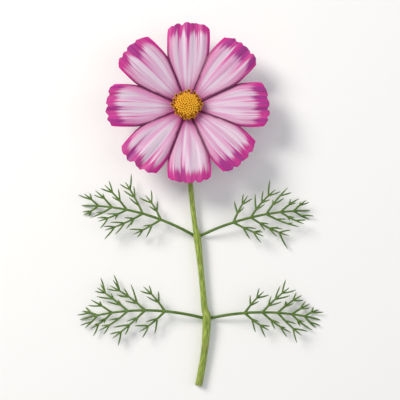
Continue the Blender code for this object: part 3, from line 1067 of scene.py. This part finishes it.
@dataclass
class Leaf:
    """One feathery leaf: a midrib with five pairs of side threads, which carry short lobes."""

    node: str
    seat: tuple[float, float, float]  # its stem node's place and radius
    heading: float  # degrees
    bend: float  # degrees that the midrib turns
    length: float
    pinna_length: float
    arch: float
    seed: int
    pairs: tuple[tuple[float, float], ...] = (  # places along the midrib, and shares of the pinna length
        (0.30, 0.82), (0.46, 1.0), (0.60, 0.85), (0.73, 0.62), (0.85, 0.42),
    )
    spacing: float = 4.5
    base_height: float = 1.6
    floor: float = 0.35
    clearance: float = 1.5
    twin_clearance: float = 1.0
    rib_width: float = 0.6  # half the midrib's width at its base
    rib_taper: float = 0.25
    fullness: float = 1.12  # of the threads, over the frame's own
    foot_gap: float = 0.6
    foot_width: float = 0.95
    pinna_widths: tuple[float, float] = (0.45, 0.28)  # half widths at the start and the tip
    lobe_widths: tuple[float, float] = (0.38, 0.26)
    twin_widths: tuple[float, float] = (0.34, 0.24)
    flatness: float = 0.72
    point: float = 0.3  # a thread's half width at its tip, as a share of what it has before
    curve_steps: int = 4

    def __post_init__(self) -> None:
        """Starts the skeleton at the leaf's base."""
        self.points = [LeafPoint(Vector((0.0, 0.0)), self.base_height, self.rib_width, -1)]
        self.threads: list[list[int]] = []

    def meets_another(self, start: int, end: Vector) -> bool:
        """Whether a thread would come up against another one.

        Args:
            start: The number of the point that it starts from.
            end: Where it would end.

        Returns:
            True if it would cross another thread or come too near it.
        """
        begin = self.points[start].place
        for number, point in enumerate(self.points):
            if point.parent < 0 or start in (number, point.parent):
                continue
            near, far = self.points[point.parent].place, point.place
            if intersect_line_line_2d(begin, end, near, far):
                return True
            along = far - near
            share = min(1.0, max(0.0, (end - near).dot(along) / along.length_squared))
            if (near + along * share - end).length < self.clearance:
                return True
        return False

    def grow(self, start: int, heading: float, bend: float, length: float, lift: float,
             widths: tuple[float, float]) -> list[int]:
        """Adds one curved thread, which stops short of any other.

        Args:
            start: The point it grows from.
            heading: Its direction, in degrees.
            bend: How far it turns, in degrees.
            length: Its length.
            lift: The height it gains.
            widths: Its half widths at its start and tip.

        Returns:
            Its points' numbers.
        """
        steps = max(2, round(length / self.spacing))
        numbers, at = [start], self.points[start].place.copy()
        base_height = self.points[start].height
        for step in range(1, steps + 1):
            t = step / steps
            angle = math.radians(heading + bend * (t - 0.5 / steps))
            at = at + Vector((math.cos(angle), math.sin(angle))) * (length / steps)
            if self.meets_another(numbers[-1], at):
                break
            height = base_height + lift * math.sin(0.5 * math.pi * t)
            half = widths[0] + (widths[1] - widths[0]) * t
            self.points.append(LeafPoint(at.copy(), height, half, numbers[-1]))
            numbers.append(len(self.points) - 1)
        return numbers

    def direction(self, number: int) -> float:
        """The direction in degrees in which the skeleton reaches a point."""
        along = self.points[number].place - self.points[self.points[number].parent].place
        return math.degrees(math.atan2(along.y, along.x))

    def grow_all(self) -> None:
        """Grows the midrib, the side threads and their lobes, in the frame's own order."""
        draw = random.Random(self.seed)
        previous, covered, forks, rib_line = 0, 0.0, [], [0]
        for share in (*(pair for pair, _ in self.pairs), 1.0):
            here = self.base_height + (self.floor - self.base_height) * share
            here += self.arch * math.sin(math.pi * share)
            widths = tuple(self.rib_width - self.rib_taper * place for place in (covered, share))
            rib = self.grow(previous, self.heading + self.bend * covered, self.bend * (share - covered),
                            self.length * (share - covered), here - self.points[previous].height, widths)
            rib_line += rib[1:]
            previous, covered = rib[-1], share
            forks.append(previous)
        self.threads.append(rib_line)
        pinnae = []
        for fork, (share, reach) in zip(forks[:-1], self.pairs):
            for side in (1, -1):
                length = self.pinna_length * reach * draw.uniform(0.88, 1.08)
                spread = side * (56.0 - 20.0 * share + draw.uniform(-4.0, 4.0))
                curl = -side * draw.uniform(8.0, 20.0)
                lift = max(self.floor - self.points[fork].height, draw.uniform(-3.5, 2.0))
                heading = self.heading + self.bend * share + spread
                pinna = self.grow(fork, heading, curl, length, lift, self.pinna_widths)
                pinnae.append((pinna, length, side))
        for pinna, length, side in pinnae:
            self.threads.append(pinna)
            outward = side
            for number in pinna[1:-1]:
                heading = self.direction(number) + outward * draw.uniform(34.0, 44.0)
                lift = max(self.floor - self.points[number].height, draw.uniform(-1.5, 1.5))
                self.threads.append(self.grow(number, heading, -outward * 10.0,
                                              length * draw.uniform(0.32, 0.46), lift, self.lobe_widths))
                outward = -outward
        self.grow_twins([pinna for pinna, _, _ in pinnae])

    def grow_twins(self, pinnae: list[list[int]]) -> None:
        """Adds the small lobes that stand opposite the larger ones, wherever there is room.

        Args:
            pinnae: The points' numbers of each side thread.
        """
        draw = random.Random(self.seed + 100)
        self.clearance = self.twin_clearance
        for pinna in pinnae:
            for number in pinna[1:-1]:
                for side in (1, -1):
                    lift = max(self.floor - self.points[number].height, draw.uniform(-1.0, 1.0))
                    heading = self.direction(number) + side * draw.uniform(28.0, 40.0)
                    length = draw.uniform(3.6, 6.4)
                    twin = self.grow(number, heading, -side * 14.0, length, lift, self.twin_widths)
                    self.threads.append(twin)

    def build(self, origin: Vector, material: Material) -> Object:
        """Builds the leaf.

        Args:
            origin: The plant's place in the frame.
            material: The leaf's material.

        Returns:
            The finished piece.
        """
        self.grow_all()
        tubes = []
        for count, thread in enumerate(self.threads):
            if len(thread) < 2:
                continue
            points = [self.points[number] for number in thread]
            stations = [(*point.place, point.height, point.half_width * self.fullness) for point in points]
            if count == 0:  # the midrib also gets a wider foot, 1 mm behind its base
                x, y, z, _ = stations[0]
                back = (Vector((x, y)) - Vector(stations[1][:2])).normalized()
                stations.insert(0, (x + back.x, y + back.y, z, self.foot_width))
            fine = catmull_rom(stations, self.curve_steps)
            tapered = []
            for number, (x, y, z, half) in enumerate(fine):
                left = (len(fine) - 1 - number) / self.curve_steps
                tapered.append((x, y, z, half * (self.point + (1.0 - self.point) * min(1.0, left / 0.6))))
            tubes.append(swept("thread", tapered, 8, flatten=self.flatness))
        x, y, radius = self.seat
        angle = math.radians(self.heading)
        out = radius + self.foot_gap
        shift = Matrix.Translation((x + out * math.cos(angle), y + out * math.sin(angle), 0.0))
        place = Matrix.Translation(origin) @ Matrix.Scale(MM, 4) @ shift
        blade = join(tubes, f"{self.node}_blade")
        return hand_over(blade, place, Slot.LEAF, material, self.node, crease=60.0)


# --- Scene ---


def make_floor() -> None:
    """A plain pale floor below the flower."""
    deselect_all()
    bpy.ops.mesh.primitive_plane_add(size=6.0, location=(0.0, 0.0, -0.0002))
    floor = bpy.context.object
    floor.name = "studio_floor"
    r = Recipe("floor_matt_white_paper")
    grain = r.add("TexNoise", s0=r.add("TexCoord", out=3), s2=1.0 / (0.8 * MM), s3=2.0)
    r.link(r.add("ValToRGB", {"stops": ((0.0, "f6f6f5"), (1.0, "fbfbfa"))}, s0=grain), "Base Color")
    r.set(Roughness=0.9)
    floor.data.materials.append(r.material)


def make_light(name: str, place: tuple[float, float, float], size: float, power: float,
               colour: str) -> None:
    """One soft area light that looks at the flower.

    Args:
        name: The light's name.
        place: Where it stands, in metres.
        size: Its side, in metres.
        power: Its power, in watts.
        colour: Its sRGB hex colour.
    """
    data = bpy.data.lights.new(name, "AREA")
    data.energy, data.size = power, size
    data.color = linear(colour)[:3]
    light = bpy.data.objects.new(name, data)
    light.location = place
    light.rotation_euler = (-Vector(place)).to_track_quat("-Z", "Y").to_euler()
    bpy.context.scene.collection.objects.link(light)


def make_camera(target: Vector, elevation: float, distance: float) -> None:
    """The camera, looking down on the flower from the stem's end.

    Args:
        target: What it looks at, in metres.
        elevation: Its height above the horizon, in degrees.
        distance: Its distance from the target, in metres.
    """
    data = bpy.data.cameras.new("camera")
    data.lens, data.sensor_width = 85.0, 36.0
    data.clip_start, data.clip_end = 0.01, 20.0
    camera = bpy.data.objects.new("camera", data)
    e = math.radians(elevation)
    back = Vector((0.0, -math.cos(e), math.sin(e)))
    camera.location = target + back * distance
    camera.rotation_euler = (-back).to_track_quat("-Z", "Y").to_euler()
    bpy.context.scene.collection.objects.link(camera)
    bpy.context.scene.camera = camera


def make_stage() -> None:
    """Floor, lights, sky and camera."""
    make_floor()
    make_light("key_softbox", (-0.62, 0.48, 0.62), 0.42, 8.4, "fffaf4")
    make_light("fill_softbox", (0.7, -0.1, 0.55), 0.7, 1.6, "f6f8ff")
    make_light("top_softbox", (0.05, -0.15, 1.0), 0.8, 1.2, "ffffff")
    world = bpy.data.worlds.new("studio")
    world.use_nodes = True
    background = world.node_tree.nodes["Background"]
    background.inputs[0].default_value = linear("f4f5f8")
    background.inputs[1].default_value = 0.38
    bpy.context.scene.world = world
    bpy.context.scene.view_settings.view_transform = "Standard"
    low, high = CAD_BOX
    make_camera((low + high) / 2 + Vector((0.0, 0.001, 0.0)), 82.0, 0.415)


def main() -> None:
    """Builds the flower's classes in order, then the stage."""
    logging.basicConfig(level=logging.INFO, format="%(name)s %(message)s")
    disc_low, disc_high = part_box("disc_florets_inner")
    cup_low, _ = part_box("receptacle")
    lean = math.radians(HEAD_LEAN)
    middle = (disc_low + disc_high) / 2
    foot_z = cup_low.z + CUP_FOOT * MM * math.sin(lean)
    foot = Vector((middle.x, middle.y - (middle.z - foot_z) * math.tan(lean), foot_z))
    origin = Vector((foot.x, foot.y - SEAT_GAP * MM * math.sin(lean), 0.0))

    petal = PetalTissue().make()
    # Bracts: dull leafy green with brownish patches, thin enough for a little light to pass.
    bract = GreenTissue("bract_green_tissue", base="6d8c2c", light="93ad4a", dark="47661c", tinge="8a5a4a",
                        tinge_share=0.25, streak_mm=0.5, mottle_mm=2.5, roughness=0.5, translucent=0.15)
    # Stem: yellow-green, waxy and smoother than the leaves, with lengthwise streaks and a brown flush.
    stem = GreenTissue("stem_green_tissue", base="8ba03c", light="a9ba58", dark="66802a", tinge="7c5a3c",
                       tinge_share=0.22, streak_mm=0.5, mottle_mm=4.0, roughness=0.42, translucent=0.1)
    # Pith: the pale, dry, spongy middle that the cut shows.
    pith = GreenTissue("pith_spongy_tissue", base="cfd6a2", light="e2e5c2", dark="b3bf82", tinge="c8c38c",
                       tinge_share=0.3, streak_mm=0.4, mottle_mm=0.8, roughness=0.7, translucent=0.2)
    # Leaves: darker and greyer than the stem, satin, with yellower patches.
    leaf = GreenTissue("leaf_green_tissue", base="55752a", light="6f8f3a", dark="3d5a1b", tinge="82983f",
                       tinge_share=0.35, streak_mm=0.4, mottle_mm=3.0, roughness=0.48, translucent=0.15)
    # Closed florets: matte golden yellow, with orange brown painted shade in the gaps between them.
    bud = FloretTissue("disc_bud_corolla_tissue", "8f4e0a", "d08c16", "efb32a", 0.12, 0.62).make()
    # Open florets: the same, a shade deeper.
    corolla = FloretTissue("disc_open_corolla_tissue", "84450a", "c98012", "e8a41f", 0.12, 0.6).make()
    # Anthers: dark brown tubes, a little shinier than the florets.
    anther = FloretTissue("anther_brown_tissue", "2c1208", "4a2010", "7a3c14", 0.1, 0.55).make()

    head = Head(foot, petal, bract.make())
    head.build()
    Disc(head.place, bud, corolla, anther).build()
    Stem(origin, stem.make(), pith.make()).build()
    leaf_material = leaf.make()
    upper, lower = (4.4, -57.0, 1.5), (8.6, -93.0, 1.75)  # the stem's two swollen nodes
    for shape in (
        Leaf("leaf_upper_right", upper, 24.0, -22.0, 50.0, 18.0, 4.5, 3),
        Leaf("leaf_upper_left", upper, 152.0, 26.0, 52.0, 18.0, 5.0, 8),
        Leaf("leaf_lower_right", lower, 12.0, -26.0, 48.0, 17.0, 3.5, 14),
        Leaf("leaf_lower_left", lower, 166.0, 30.0, 54.0, 19.0, 4.0, 21),
    ):
        shape.build(origin, leaf_material)
    make_stage()


if __name__ == "__main__":
    main()
